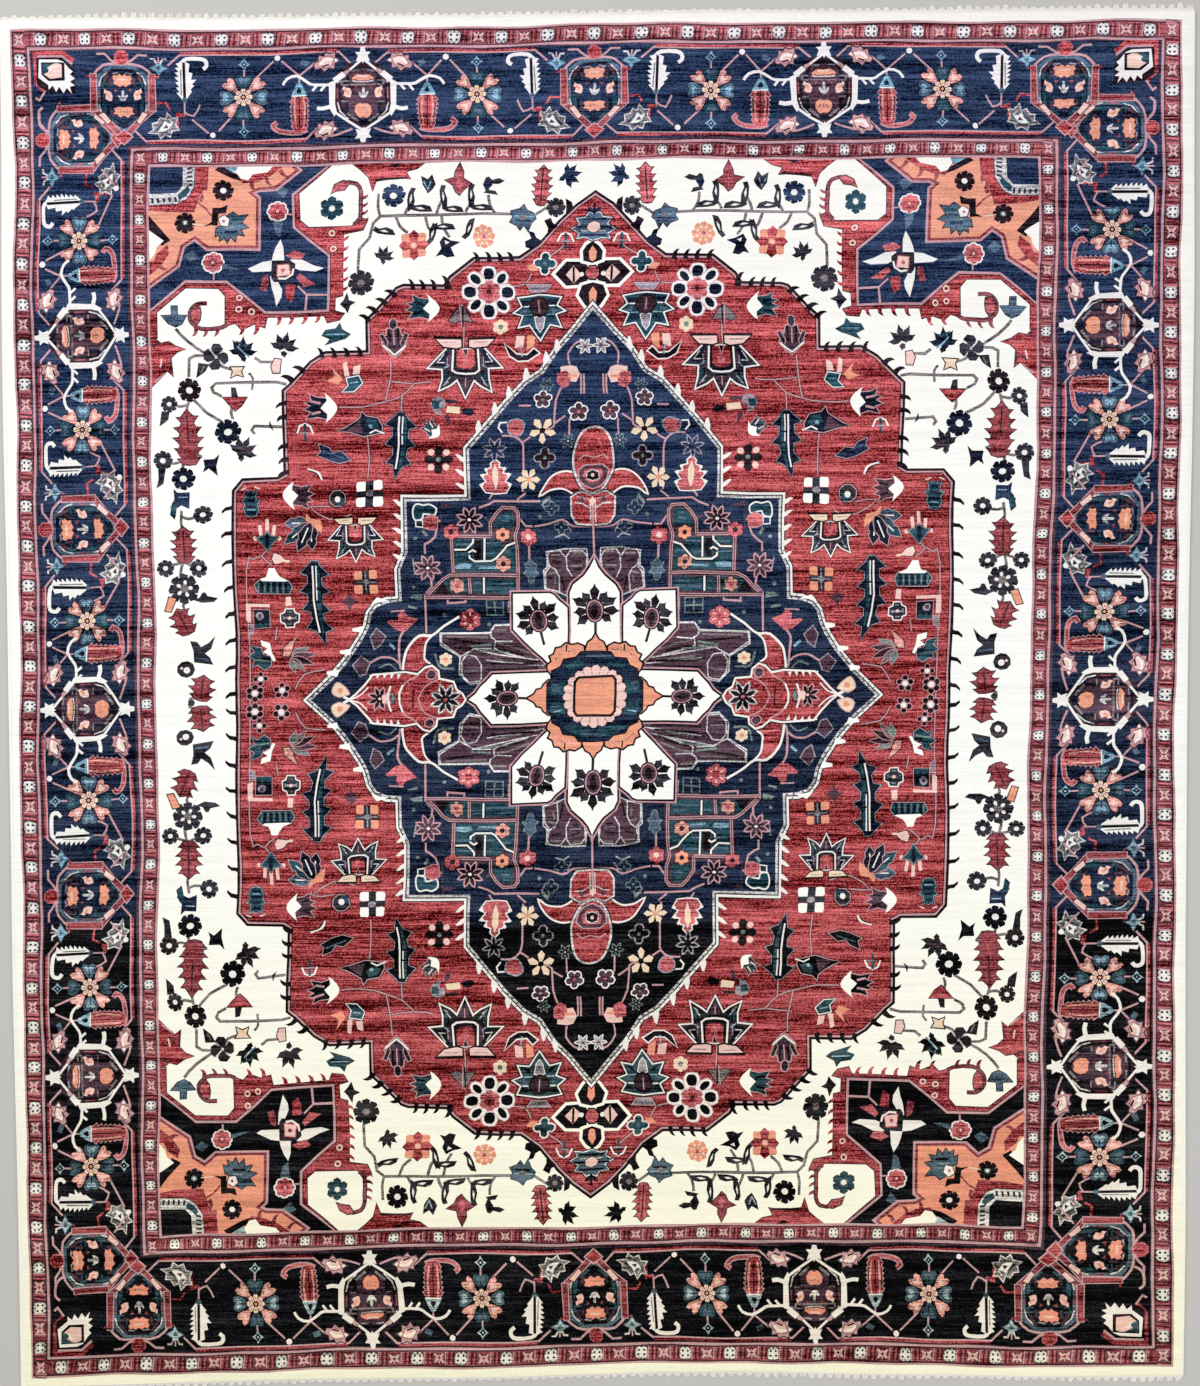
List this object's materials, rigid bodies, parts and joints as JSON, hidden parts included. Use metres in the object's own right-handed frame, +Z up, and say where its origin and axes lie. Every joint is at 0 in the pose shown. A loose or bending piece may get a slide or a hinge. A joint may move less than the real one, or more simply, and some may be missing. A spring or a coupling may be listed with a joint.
{
  "type": "afghan rug",
  "caption": "Room-size hand-knotted wool rug lying flat, with a medallion pattern, overcast sides and short worn fringe at both ends.",
  "frame": {"origin": "centre of the rug's box, at the underside that lies on the floor", "axes": "+X across the rug, +Y along it towards the pattern's top end, +Z up out of the pile"},
  "size_m": [2.452, 2.8772, 0.008],
  "materials": {
    "wool_pile": "short dense wool pile, madder red, indigo and ivory",
    "cotton_warp": "undyed flat-woven ends with worn warp locks"
  },
  "bodies": {
    "root": {"knotted_pile": "wool_pile", "top_end_fringe": "cotton_warp", "bottom_end_fringe": "cotton_warp"}
  },
  "joints": []
}
